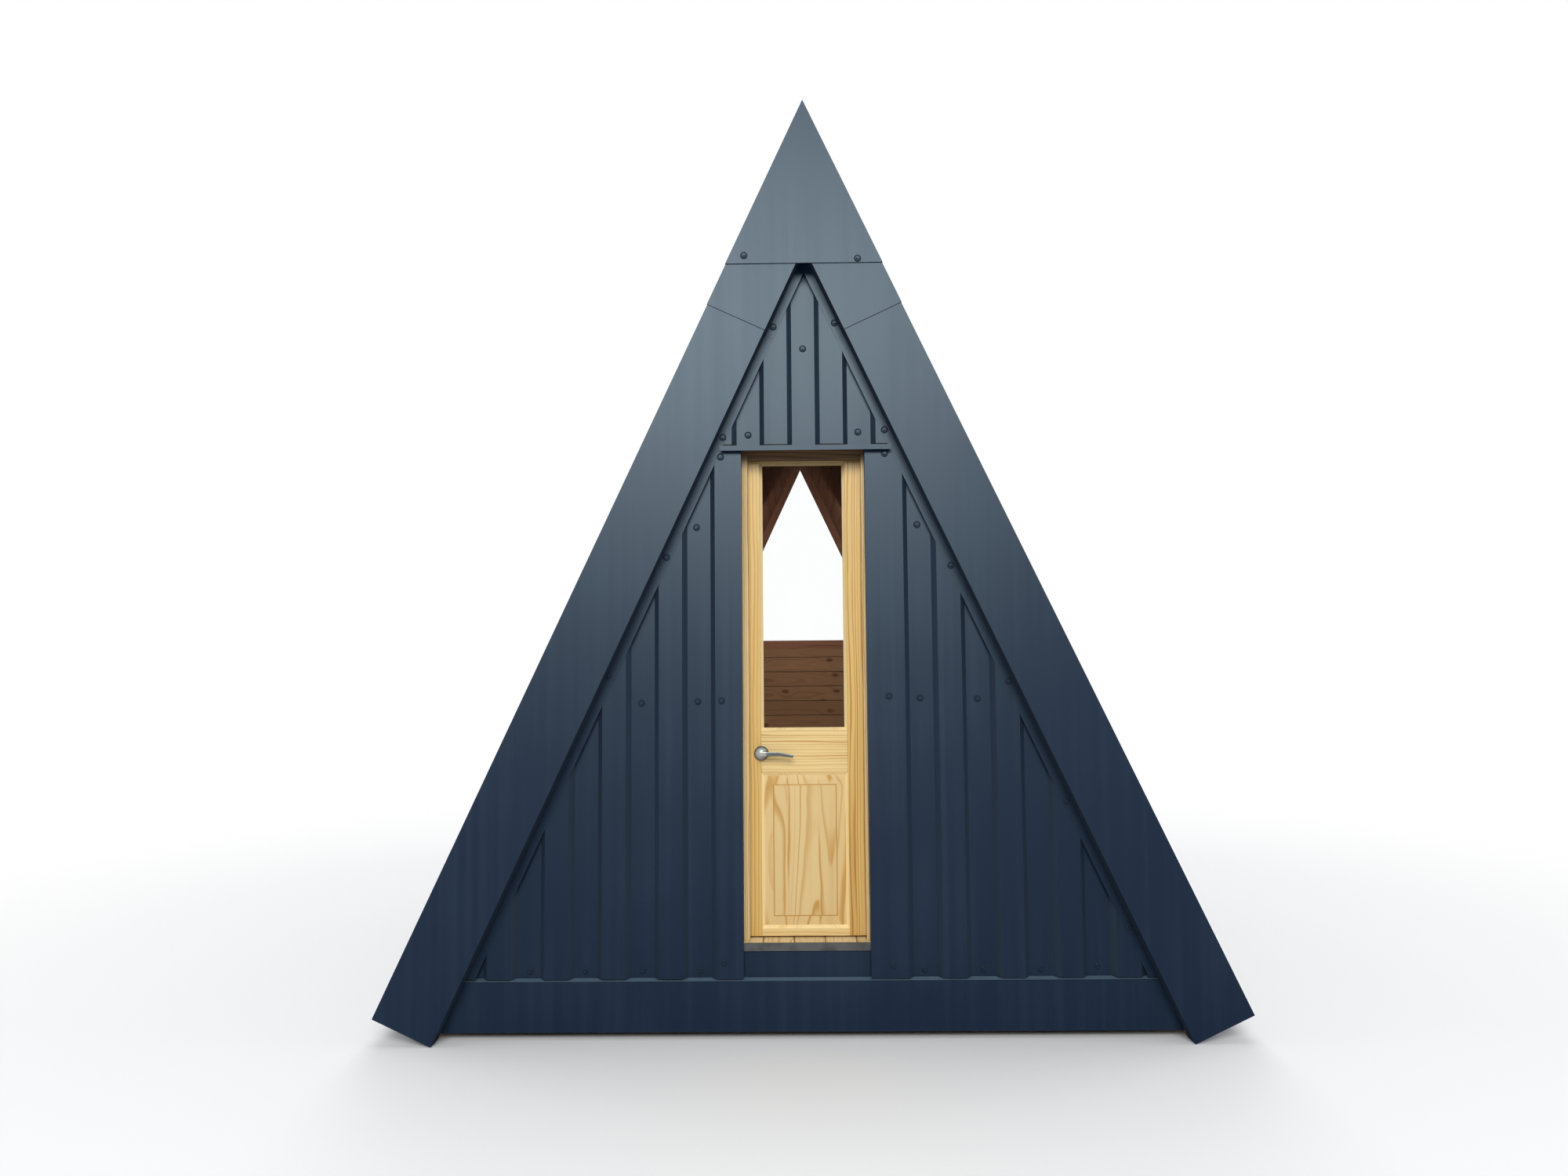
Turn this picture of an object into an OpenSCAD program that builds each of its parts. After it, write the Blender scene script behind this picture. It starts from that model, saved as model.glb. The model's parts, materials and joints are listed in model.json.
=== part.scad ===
// Small A-frame cabin: two steep sheeted roof slopes that run down to the ground, a boarded
// floor, a sheeted front gable with a narrow half-glazed door, and a back gable with a window.
// X runs across the gable, the front faces -Y, Z is up, and the origin is on the ground at
// the middle of the plan.

/* [Roof] */
// Width across the feet of the two roof slopes
overall_w = 3000; // [2600:10:3600]
// Pitch of the roof slopes in degrees
pitch = 65; // [62:0.5:68]
// Length of the cabin between the faces of the two gables
gable_l = 3700; // [3000:10:5000]
// Overhang of the roof beyond each gable
overhang = 70; // [40:5:150]
// Thickness of the insulated roof slab
slab_t = 200; // [150:5:260]
// Thickness of the boards that line the room
lining_t = 12; // [8:1:20]

/* [Sheet metal] */
// Thickness of the coated steel sheet
sheet_t = 1; // [0.6:0.1:1.5]
// Distance between two ribs of the sheet
rib_pitch = 200; // [180:5:240]
// Width of the flat top of a rib
rib_crown = 83; // [60:1:100]
// Width of the sloping flank of a rib
rib_flank = 17; // [10:1:25]
// Height of a rib
rib_h = 20; // [12:1:32]
// Sideways shift of the ribs left of the door
rib_shift_left = 15; // [-80:1:80]
// Sideways shift of the ribs right of the door
rib_shift_right = 3; // [-80:1:80]
// Sideways shift of the ribs over the door
rib_shift_top = -6; // [-80:1:80]
// Clearance between pieces that lie on each other on a slope
seat = 0.2; // [0.1:0.05:0.4]

/* [Flashings] */
// Width of the leg of a barge on the roof
barge_leg = 120; // [60:5:200]
// Width of the flange of a barge on the gable
barge_flange = 30; // [20:1:50]
// Distance down the slope from the ridge to the joint in a barge
barge_joint = 820; // [700:10:1200]
// Lap of the upper length of a barge over the lower one
barge_lap = 60; // [30:5:120]
// How far the face of an upper length stands in front of the lower one
lap_gap = 3; // [0:0.5:6]
// Drop of the apex cap below the ridge
cap_drop = 600; // [450:10:660]
// How far the apex cap stands in front of the barges
cap_gap = 4; // [0:0.5:8]
// Width of the folded wings of the apex cap
cap_wing = 65; // [30:5:100]
// Width of each wing of the ridge cap
ridge_wing = 250; // [150:10:400]
// Gap between the ground and the base flashing
base_clear = 25; // [10:5:60]
// Height of the top of the base flashing
base_top = 195; // [150:5:240]
// How far the base flashing stands in front of the ribs
base_proud = 5; // [3:1:10]
// Rise of the sloping ledge of the base flashing
ledge_rise = 7; // [3:1:12]
// Height of the nose of a drip flashing
drip_nose = 18; // [10:1:30]
// How far a drip flashing stands in front of the ribs
drip_out = 26; // [15:1:40]
// How far the nose of the drip flashing hangs below the top of the door frame
drip_drop = 21; // [16:1:24]
// Clearance between a drip flashing and the sheets below and above it
drip_clear = 2; // [1:0.5:5]

/* [Floor and walls] */
// Height of the floor above the ground
floor_z = 320; // [290:5:380]
// Thickness of the floor boards
board_t = 22; // [18:1:28]
// Height of the floor joists
joist_h = 150; // [120:5:170]
// Thickness of a floor joist
joist_t = 45; // [35:1:60]
// Number of floor joists
joist_n = 9; // [5:1:14]
// Width of a ground bearer
bearer_w = 100; // [75:5:150]
// Setback of the bearers behind the gable walls
bearer_back = 200; // [0:10:500]
// Distance from the middle of the floor to an outer bearer
bearer_x = 800; // [600:10:900]
// Thickness of the framed gable walls
wall_t = 90; // [70:5:120]

/* [Door] */
// Width of the door leaf
leaf_w = 431; // [415:1:440]
// Sideways shift of the door from the middle of the gable
door_shift = -5; // [-30:1:30]
// Room between the top corners of the door frame and the roof slab
corner_clear = 77.8; // [70:0.1:140]
// Thickness of the door leaf
leaf_t = 40; // [35:1:45]
// Clearance round the leaf
leaf_gap = 5; // [5:0.5:6]
// Gap under the leaf
floor_gap = 6; // [5:0.5:10]
// Clearance at the lock edge of the leaf
lock_gap = 8; // [7:0.5:9]
// Overlap of the door stop over the leaf
stop_lap = 10; // [6:1:13]
// Overlap of the head over the leaf
head_lap = 13; // [8:1:16]
// Width of the lock stile
lock_stile = 52; // [50:1:75]
// Width of the hinge stile
hinge_stile = 68; // [60:1:100]
// Height of the top rail
top_rail = 16; // [16:1:80]
// Height of the lock rail
lock_rail = 151; // [120:1:200]
// Height of the bottom rail
bottom_rail = 26; // [25:1:80]
// Height of the lower panel
panel_h = 548; // [500:1:600]
// Thickness of the lower panel
panel_t = 14; // [10:1:20]
// Width of the bevel round the raised field of the panel
panel_bevel = 33; // [20:1:60]
// Thickness of the panel at its raised field
field_t = 22; // [20:1:30]
// Height of the step at the edge of the raised field
field_step = 2; // [0.5:0.5:2.5]
// Width of the mouldings round the glass and the panel
bead_w = 10; // [4:1:14]
// Thickness of the panes of glass
glass_t = 6; // [4:1:10]
// Thickness of the door frame outside the clearance
frame_t = 24; // [20:1:24]
// Setback of the frame behind the front of the wall
frame_back = 29; // [20:1:32]
// Width of the side flashing on the lock side
lock_side_w = 86; // [70:1:110]
// Width of the side flashing on the hinge side
hinge_side_w = 130; // [70:1:160]
// How much of the lock jamb shows beside its flashing
lock_show = 21; // [8:1:26]
// How much of the hinge jamb shows beside its flashing
hinge_show = 11; // [8:1:15]
// Height of the metal strip along the front edge of the floor
sill_h = 27; // [22:1:40]
// Thickness of the metal strip along the front edge of the floor
sill_t = 7; // [4:1:15]

/* [Door fittings] */
// Distance of the lever from the lock edge of the leaf
lever_in = 53; // [45:1:53]
// Height of the lever above the lower edge of the lock rail
lever_up = 71; // [60:1:90]
// Length of the lever
lever_l = 115; // [90:1:130]
// Droop of the tip of the lever
lever_droop = 8; // [0:1:15]
// Radius of a rose
rose_r = 26; // [22:1:28]
// Thickness of a rose
rose_t = 9; // [6:1:12]
// Distance of the lever from the face of the leaf
lever_out = 45; // [40:1:55]
// Height of a hinge
hinge_h = 90; // [75:5:120]
// Distance of the outer hinges from the ends of the leaf
hinge_end = 170; // [120:5:250]
// Width of the plate of a hinge on the leaf
hinge_plate = 45; // [30:1:60]
// Radius of the knuckles of a hinge
knuckle_r = 6; // [5:0.5:7]
// Radius of the pin of a hinge
pin_r = 3; // [2.5:0.1:3.5]
// Running clearance of a pin in its bore
pin_play = 0.05; // [0.03:0.01:0.1]

/* [Back window] */
// Height of the bottom of the window frame
window_z = 1382; // [1200:1:1700]
// Width of the bars of the window frame
window_bar = 54; // [40:1:80]

/* [Hidden] */
$fn = 48;

// Depths below the outermost slope: the lower barge and ridge cap, the ribbed sheet, the slab,
// what lies against its inner face, the soffit fold of the barge and the lining of the room
layer = sheet_t + seat;
lower_s = 2 * layer;
sheet_s = 3 * layer;
slab_s = sheet_s + rib_h + layer;
inner_s = slab_s + slab_t;
seat_s = inner_s + seat;
soffit_s = seat_s + sheet_t;
lining_s = seat_s + lining_t;
flange_s = soffit_s + barge_flange;
half_w = overall_w / 2;
foot_u = half_w / cos(pitch);
apex_z = half_w * tan(pitch) + soffit_s * cos(pitch);
wide = overall_w;
over = 1;

// Planes of the front gable, from the tip of the roof to the room
crown_y = -gable_l / 2;
core_y = crown_y + rib_h + sheet_t;
lining_y = core_y + wall_t;
room_y = lining_y + lining_t;
verge_y = crown_y - overhang;

// Levels of the floor
board_z = floor_z - board_t;
joist_z = board_z - joist_h;

// Edges of the door leaf, of its frame and of the opening in the wall
leaf_left = door_shift - leaf_w / 2;
leaf_right = door_shift + leaf_w / 2;
leaf_in_y = room_y;
leaf_out_y = room_y - leaf_t;
rebate_left = leaf_left - lock_gap;
rebate_right = leaf_right + leaf_gap;
stop_left = leaf_left + stop_lap;
stop_right = leaf_right - stop_lap;
stop_y = leaf_out_y - leaf_gap;
open_left = rebate_left - frame_t;
open_right = rebate_right + frame_t;
frame_y = core_y + frame_back;
side_left = stop_left - lock_show;
side_right = stop_right + hinge_show;

// Heights of the door: the roof over the top corners of the frame sets them
open_half = max(-open_left, open_right);
open_top = peak_z(inner_s) - (open_half + corner_clear) * tan(pitch);
rebate_top = open_top - frame_t;
leaf_top = rebate_top - leaf_gap;
leaf_z = floor_z + floor_gap;
stop_top = leaf_top - head_lap;
sill_z = floor_z - sill_h;

// Levels and edges inside the door leaf
panel_z = leaf_z + bottom_rail;
lock_rail_z = panel_z + panel_h;
glass_z = lock_rail_z + lock_rail;
glass_top = leaf_top - top_rail;
light_left = leaf_left + lock_stile;
light_right = leaf_right - hinge_stile;
leaf_mid_y = (leaf_in_y + leaf_out_y) / 2;

// Drip flashing over the door, and where the sheets stop below and above it
drip_z = open_top - drip_drop;
drip_fold = drip_z + drip_nose;
clad_z = base_top + ledge_rise + seat;
clad_low_top = drip_fold - drip_clear;
clad_high_z = drip_fold + ledge_rise + drip_clear;

// Lever and hinges
lever_x = leaf_left + lever_in;
lever_z = lock_rail_z + lever_up;
neck_r = 9;
spindle_r = 6;
turn_gap = 0.3;
hinge_x = (leaf_right + rebate_right) / 2;
hinge_y = leaf_in_y + knuckle_r;
plate_t = 2.5;
plate_gap = 1;
hinge_zs = [leaf_z + hinge_end, (leaf_z + leaf_top) / 2, leaf_top - hinge_end];

// Window bars meet with a hairline between them, and the pane sits in a groove
hairline = 0.2;
groove = 10;
window_s = seat_s + window_bar;
window_sill = window_z + window_bar;

slate = [0.12, 0.17, 0.24];
pine = [0.86, 0.72, 0.47];
brown_pine = [0.36, 0.26, 0.18];
dark_pine = [0.19, 0.12, 0.1];
rough_timber = [0.62, 0.52, 0.38];
clear_glass = [0.75, 0.85, 0.88, 0.35];
steel = [0.72, 0.72, 0.7];

// A point of the right-hand slope, s deep below the outer line and u down from the ridge
function slope_pt(s, u) =
    [u * cos(pitch) - s * sin(pitch), apex_z - u * sin(pitch) - s * cos(pitch)];

// Half the width between the slopes at depth s and height z
function half_at(s, z) = (apex_z - s / cos(pitch) - z) / tan(pitch);

// Height at which the two slopes meet at depth s
function peak_z(s) = apex_z - s / cos(pitch);

// One line of the ribbed sheet from a to b: a pan at the middle, ribs every rib_pitch
function rib_line(a, b, offset) = [
    for (k = [floor(a / rib_pitch) : ceil(b / rib_pitch)])
    for (p = [[-1, -1, 1], [-1, 0, 0], [1, 0, 0], [1, 1, 1]])
    [rib_pitch * (k + 0.5) + p[0] * rib_crown / 2 + p[1] * rib_flank,
     offset + p[2] * rib_h]
];

function reversed(v) = [for (i = [len(v) - 1 : -1 : 0]) v[i]];

// Copies the children to the left-hand slope
module left() { mirror([1, 0, 0]) children(); }

// Copies the children to the back gable
module back() { mirror([0, 1, 0]) children(); }

// Both slopes at once
module both() {
    children();
    left() children();
}

// Extrudes an outline of the XZ plane from y0 to y1
module along_y(y0, y1) {
    translate([0, y1, 0]) rotate([90, 0, 0]) linear_extrude(y1 - y0) children();
}

// Extrudes an outline of the YZ plane from x0 to x1
module along_x(x0, x1) {
    translate([x0, 0, 0]) rotate([90, 0, 90]) linear_extrude(x1 - x0) children();
}

// A box between two corners
module box(a, b) { translate(a) cube(b - a); }

// Places the children on the right-hand slope: X down the slope, Z out of the roof
module on_slope() { translate([0, 0, apex_z]) rotate([0, pitch, 0]) children(); }

// Strip of the right-hand slope between depths s0 and s1, from the mitre at the ridge to u1
module strip(s0, s1, u1) {
    polygon([[0, peak_z(s0)], slope_pt(s0, u1), slope_pt(s1, u1), [0, peak_z(s1)]]);
}

// Area of a gable inside depth s, between two heights
module gable(s, z0, z1) {
    polygon([[-half_at(s, z0), z0], [half_at(s, z0), z0],
             [half_at(s, z1), z1], [-half_at(s, z1), z1]]);
}

// Area of a gable inside depth s, from a height up to the peak
module gable_top(s, z0) {
    polygon([[-half_at(s, z0), z0], [half_at(s, z0), z0], [0, peak_z(s)]]);
}

// Ribbed sheet of a gable, with its ribs upright and shifted sideways
module gable_sheet(shift) {
    outer = rib_line(-half_w, half_w, 0);
    inner = rib_line(-half_w, half_w, sheet_t);
    translate([shift, crown_y, 0]) linear_extrude(apex_z) polygon(concat(outer, reversed(inner)));
}

// Flashing at the foot of a gable: an upright face and a ledge that slopes back to the wall
module base_flashing() {
    face_y = crown_y - base_proud;
    intersection() {
        along_x(-half_w, half_w)
            polygon([[face_y, base_clear], [face_y, base_top], [core_y, base_top + ledge_rise],
                     [core_y, base_top + ledge_rise - sheet_t],
                     [face_y + sheet_t, base_top - sheet_t], [face_y + sheet_t, base_clear]]);
        along_y(crown_y - base_proud - over, core_y + over)
            gable(soffit_s + turn_gap, base_clear - over, clad_z);
    }
}

// Drip flashing with a nose at height z, cut back to the flanges of the barges
module drip(half_l, z) {
    fold = z + drip_nose;
    nose_y = crown_y - drip_out;
    difference() {
        along_x(-half_l, half_l)
            polygon([[nose_y, z], [nose_y, fold], [core_y, fold + ledge_rise],
                     [core_y, fold + ledge_rise - sheet_t],
                     [nose_y + sheet_t, fold - sheet_t], [nose_y + sheet_t, z]]);
        both() along_y(crown_y - 2 * sheet_t - turn_gap, core_y + over)
            polygon([[half_at(flange_s + turn_gap, z - drip_nose), z - drip_nose],
                     [wide, z - drip_nose], [wide, fold + drip_nose],
                     [half_at(flange_s + turn_gap, fold + drip_nose), fold + drip_nose]]);
    }
}

// One length of barge flashing from u0 to u1: a leg on the roof, the face, the soffit fold and
// the flange on the gable. An upper length lies one layer outside the lower one.
module barge(layers, u0, u1) {
    face_y = verge_y - sheet_t - layers * (sheet_t + lap_gap);
    flange_y = crown_y - (layers + 1) * sheet_t;
    top = layers * layer - lower_s;
    soffit = -soffit_s - layers * layer;
    on_slope() along_x(u0, u1)
        polygon([[verge_y + barge_leg, top], [face_y, top], [face_y, soffit],
                 [flange_y, soffit], [flange_y, -flange_s],
                 [flange_y + sheet_t, -flange_s], [flange_y + sheet_t, soffit + sheet_t],
                 [face_y + sheet_t, soffit + sheet_t], [face_y + sheet_t, top - sheet_t],
                 [verge_y + barge_leg, top - sheet_t]]);
}

// Lower length of a barge: its flange stops on the base flashing
module lower_barge() {
    difference() {
        barge(0, barge_joint - barge_lap, foot_u);
        box([0, crown_y - sheet_t - over, -wide], [wide, crown_y + over, clad_z]);
    }
}

// Upper length of a barge, mitred at the ridge
module upper_barge() {
    intersection() {
        barge(1, -wide / 2, barge_joint);
        box([hairline, -wide, 0], [wide, wide, wide * 2]);
    }
}

// Cap over the mitre of the barges: a plate with wings folded back over both slopes
module apex_cap() {
    cap_z = apex_z - cap_drop;
    face_y = verge_y - 3 * sheet_t - lap_gap - cap_gap;
    along_y(face_y, face_y + sheet_t) gable_top(0, cap_z);
    along_y(face_y, face_y + cap_wing)
        polygon([[-half_at(0, cap_z), cap_z], [0, apex_z], [half_at(0, cap_z), cap_z],
                 [half_at(sheet_t, cap_z), cap_z], [0, peak_z(sheet_t)],
                 [-half_at(sheet_t, cap_z), cap_z]]);
}

// Area of the doorway in the front wall
module doorway() {
    translate([open_left, floor_z]) square([open_right - open_left, open_top - floor_z]);
}

module floor_bearers() {
    color(rough_timber)
        for (x = [-bearer_x, 0, bearer_x])
            box([x - bearer_w / 2, core_y + bearer_back, 0],
                [x + bearer_w / 2, -core_y - bearer_back, joist_z]);
}

module floor_joists() {
    step = (-2 * core_y - joist_t) / (joist_n - 1);
    color(rough_timber)
        for (i = [0 : joist_n - 1])
            along_y(core_y + i * step, core_y + i * step + joist_t)
                gable(seat_s, joist_z, board_z);
}

module floor_boards() {
    color(pine) along_y(core_y, -core_y) gable(seat_s, board_z, floor_z);
}

module roof_slab() {
    along_y(verge_y, -verge_y) strip(slab_s, inner_s, foot_u - layer);
}

module roof_left() { color(rough_timber) left() roof_slab(); }

module roof_right() { color(rough_timber) roof_slab(); }

module roof_sheet() {
    start_u = slab_s * tan(pitch) + rib_h;
    outer = rib_line(verge_y, -verge_y, 0);
    inner = rib_line(verge_y, -verge_y, sheet_t);
    intersection() {
        on_slope() translate([0, 0, -sheet_s]) mirror([0, 0, 1])
            along_x(start_u, foot_u) polygon(concat(outer, reversed(inner)));
        box([0, verge_y, 0], [wide, -verge_y, wide * 2]);
    }
}

module roof_sheet_left() { color(slate) left() roof_sheet(); }

module roof_sheet_right() { color(slate) roof_sheet(); }

module roof_lining() {
    along_y(room_y, -room_y)
        polygon([[0, peak_z(seat_s)], [half_at(seat_s, floor_z), floor_z],
                 [half_at(lining_s, floor_z), floor_z], [0, peak_z(lining_s)]]);
}

module roof_lining_left() { color(dark_pine) left() roof_lining(); }

module roof_lining_right() { color(dark_pine) roof_lining(); }

module ridge_cap() {
    under_s = lower_s + sheet_t;
    top = slope_pt(lower_s, ridge_wing);
    under = slope_pt(under_s, ridge_wing);
    color(slate) along_y(verge_y, -verge_y)
        polygon([[0, peak_z(lower_s)], top, under, [0, peak_z(under_s)],
                 [-under[0], under[1]], [-top[0], top[1]]]);
}

module eaves_flashings() {
    color(slate) both() on_slope()
        box([foot_u - sheet_t, verge_y, -inner_s], [foot_u, -verge_y, -slab_s]);
}

module front_wall_left() {
    color(rough_timber) along_y(core_y, lining_y)
        polygon([[open_left, floor_z], [open_left, open_top],
                 [-half_at(seat_s, open_top), open_top], [-half_at(seat_s, floor_z), floor_z]]);
}

module front_wall_right() {
    color(rough_timber) along_y(core_y, lining_y)
        polygon([[open_right, floor_z], [open_right, open_top],
                 [half_at(seat_s, open_top), open_top], [half_at(seat_s, floor_z), floor_z]]);
}

module front_wall_top() {
    color(rough_timber) along_y(core_y, lining_y) gable_top(seat_s, open_top);
}

module front_lining() {
    color(brown_pine) along_y(lining_y, room_y) difference() {
        gable_top(seat_s, floor_z);
        doorway();
    }
}

module front_cladding_left() {
    color(slate) intersection() {
        gable_sheet(rib_shift_left);
        along_y(crown_y - over, core_y + over) intersection() {
            gable(seat_s, clad_z, clad_low_top);
            translate([-half_w, 0]) square([half_w + open_left, apex_z]);
        }
    }
}

module front_cladding_right() {
    color(slate) intersection() {
        gable_sheet(rib_shift_right);
        along_y(crown_y - over, core_y + over) intersection() {
            gable(seat_s, clad_z, clad_low_top);
            translate([open_right, 0]) square([half_w, apex_z]);
        }
    }
}

module front_cladding_top() {
    color(slate) intersection() {
        gable_sheet(rib_shift_top);
        along_y(crown_y - over, core_y + over) gable_top(seat_s, clad_high_z);
    }
}

module front_base_flashing() { color(slate) base_flashing(); }

module front_barges() { color(slate) both() lower_barge(); }

module front_barge_tops() { color(slate) both() upper_barge(); }

module front_apex_cap() { color(slate) apex_cap(); }

module door_kick_panel() {
    color(slate)
        box([open_left, core_y - sheet_t, clad_z], [open_right, core_y, sill_z]);
}

module door_sill() {
    color(steel) box([open_left, core_y - sill_t, sill_z], [open_right, core_y, floor_z]);
}

// Flashing beside the doorway: a flat face on the ribs and a return to the frame
module side_flashing(inner_x, outer_x) {
    edge = sign(outer_x - inner_x) * sheet_t;
    face_y = crown_y - sheet_t;
    intersection() {
        union() {
            box([min(inner_x, outer_x), face_y, clad_z], [max(inner_x, outer_x), crown_y, drip_fold]);
            box([min(inner_x, inner_x + edge), face_y, floor_z],
                [max(inner_x, inner_x + edge), frame_y, drip_fold]);
        }
        along_y(face_y - over, frame_y + over) gable(flange_s + turn_gap, 0, drip_fold);
    }
}

module door_side_flashings() {
    color(slate) {
        side_flashing(side_left, side_left - lock_side_w);
        side_flashing(side_right, side_right + hinge_side_w);
    }
}

module door_drip_flashing() { color(slate) drip(half_at(flange_s, drip_z), drip_z); }

// A rebated jamb: the stop stands in front of the leaf
module jamb(outer_x, rebate_x, stop_x) {
    translate([0, 0, floor_z]) linear_extrude(rebate_top - floor_z)
        polygon([[outer_x, frame_y], [stop_x, frame_y], [stop_x, stop_y],
                 [rebate_x, stop_y], [rebate_x, room_y], [outer_x, room_y]]);
}

module door_jambs() {
    color(pine) {
        jamb(open_left, rebate_left, stop_left);
        jamb(open_right, rebate_right, stop_right);
    }
}

module door_head() {
    color(pine) {
        box([open_left, frame_y, rebate_top], [open_right, room_y, open_top]);
        box([stop_left, frame_y, stop_top], [stop_right, stop_y, rebate_top]);
    }
}

// Bore for the spindle of the lever, through the stile and the end of the lock rail
module spindle_bore() {
    translate([lever_x, leaf_in_y + over, lever_z]) rotate([90, 0, 0])
        cylinder(h = leaf_t + 2 * over, r = spindle_r + turn_gap);
}

module door_stiles() {
    color(pine) {
        difference() {
            box([leaf_left, leaf_out_y, leaf_z], [light_left, leaf_in_y, leaf_top]);
            spindle_bore();
        }
        box([light_right, leaf_out_y, leaf_z], [leaf_right, leaf_in_y, leaf_top]);
    }
}

module door_rails() {
    color(pine) difference() {
        for (r = [[leaf_z, bottom_rail], [lock_rail_z, lock_rail], [glass_top, top_rail]])
            box([light_left, leaf_out_y, r[0]], [light_right, leaf_in_y, r[0] + r[1]]);
        spindle_bore();
    }
}

// A slab inside the lower light of the door, held back from its edges
module panel_slab(inset, thick) {
    box([light_left + inset, leaf_mid_y - thick / 2, panel_z + inset],
        [light_right - inset, leaf_mid_y + thick / 2, lock_rail_z - inset]);
}

// Lower panel: a flat board, bevelled up to a raised field on both faces
module door_panel() {
    field_inset = bead_w + panel_bevel;
    color(pine) {
        panel_slab(0, panel_t);
        hull() {
            panel_slab(bead_w, panel_t);
            panel_slab(field_inset, field_t - 2 * field_step);
        }
        panel_slab(field_inset, field_t);
    }
}

module door_glass() {
    color(clear_glass)
        box([light_left, leaf_mid_y - glass_t / 2, glass_z],
            [light_right, leaf_mid_y + glass_t / 2, glass_top]);
}

// A moulding that runs round a light of the door, with a bevel towards the opening
module bead_ring(z0, z1, plane_y, face_y) {
    wedge = [[0, plane_y], [bead_w, plane_y], [0, face_y]];
    height = z1 - z0;
    width = light_right - light_left;
    translate([light_left, 0, z0]) linear_extrude(height) polygon(wedge);
    translate([light_right, 0, z0]) mirror([1, 0, 0]) linear_extrude(height) polygon(wedge);
    translate([light_left, 0, z0]) rotate([90, 0, 90]) linear_extrude(width)
        polygon([for (p = wedge) [p[1], p[0]]]);
    translate([light_left, 0, z1]) mirror([0, 0, 1]) rotate([90, 0, 90]) linear_extrude(width)
        polygon([for (p = wedge) [p[1], p[0]]]);
}

module door_beads() {
    set_back = 1;
    color(pine)
        for (side = [-1, 1]) {
            face_y = leaf_mid_y + side * (leaf_t / 2 - set_back);
            bead_ring(glass_z, glass_top, leaf_mid_y + side * glass_t / 2, face_y);
            bead_ring(panel_z, lock_rail_z, leaf_mid_y + side * panel_t / 2, face_y);
        }
}

// Places the children at the spindle of the lever, with Z out of the outer face
module at_lever() { translate([lever_x, leaf_mid_y, lever_z]) rotate([90, 0, 0]) children(); }

// Both faces of the leaf at once
module both_faces() {
    children();
    mirror([0, 0, 1]) children();
}

module door_roses() {
    edge = 2;
    color(steel) at_lever() both_faces() translate([0, 0, leaf_t / 2])
        rotate_extrude()
            polygon([[neck_r + turn_gap, 0], [rose_r, 0], [rose_r, rose_t - edge],
                     [rose_r - edge, rose_t], [neck_r + turn_gap, rose_t]]);
}

// Lever handles on both faces, joined by their spindle
module door_lever() {
    root_r = 8;
    bend_r = 7;
    tip_r = 5;
    bar_t = 10;
    bend_x = lever_l * 0.55;
    bar_z = leaf_t / 2 + lever_out - bar_t;
    color(steel) at_lever() {
        translate([0, 0, -bar_z]) cylinder(h = 2 * bar_z, r = spindle_r);
        both_faces() {
            translate([0, 0, leaf_t / 2 + turn_gap]) cylinder(h = lever_out - turn_gap, r = neck_r);
            hull() {
                translate([0, 0, bar_z]) cylinder(h = bar_t, r = root_r);
                translate([bend_x, 0, bar_z]) cylinder(h = bar_t, r = bend_r);
            }
            hull() {
                translate([bend_x, 0, bar_z]) cylinder(h = bar_t, r = bend_r);
                translate([lever_l - tip_r, -lever_droop, bar_z]) cylinder(h = bar_t, r = tip_r);
            }
        }
    }
}

// Places the children at the lower end of each hinge
module at_hinges() {
    for (z = hinge_zs) translate([hinge_x, hinge_y, z - hinge_h / 2]) children();
}

// Frame leaf of a hinge: a plate, the two outer knuckles and the pin
module hinge_frame_leaves() {
    third = hinge_h / 3;
    plate_x = knuckle_r + plate_gap;
    color(steel) at_hinges() {
        box([plate_x, -knuckle_r, 0], [frame_t, plate_t - knuckle_r, hinge_h]);
        for (z = [0, 2 * third]) {
            translate([0, 0, z]) cylinder(h = third, r = knuckle_r);
            box([0, -knuckle_r, z], [plate_x + over, plate_t - knuckle_r, z + third]);
        }
        cylinder(h = hinge_h, r = pin_r);
    }
}

// Door leaf of a hinge: a plate and the middle knuckle, bored for the pin
module hinge_door_leaves() {
    low = hinge_h / 3 + turn_gap;
    high = 2 * hinge_h / 3 - turn_gap;
    plate_x = -knuckle_r - plate_gap;
    color(steel) at_hinges() difference() {
        union() {
            box([-hinge_plate, -knuckle_r, 0], [plate_x, plate_t - knuckle_r, hinge_h]);
            translate([0, 0, low]) cylinder(h = high - low, r = knuckle_r);
            box([plate_x - over, -knuckle_r, low], [0, plate_t - knuckle_r, high]);
        }
        translate([0, 0, -over]) cylinder(h = hinge_h + 2 * over, r = pin_r + pin_play);
    }
}

module back_wall() {
    color(rough_timber) back() along_y(core_y, lining_y) gable(seat_s, floor_z, window_z);
}

module back_lining() {
    color(brown_pine) back() along_y(lining_y, room_y) gable(seat_s, floor_z, window_z);
}

module back_cladding() {
    color(slate) back() intersection() {
        gable_sheet(0);
        along_y(crown_y - over, core_y + over) gable(seat_s, clad_z, window_z - ledge_rise);
    }
}

module back_base_flashing() { color(slate) back() base_flashing(); }

// Pane of the back window, grown by an amount into its groove
module pane(grow, thick) {
    mid_y = (crown_y + room_y) / 2;
    back() along_y(mid_y - thick / 2, mid_y + thick / 2)
        gable_top(window_s - grow, window_sill - grow);
}

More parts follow.
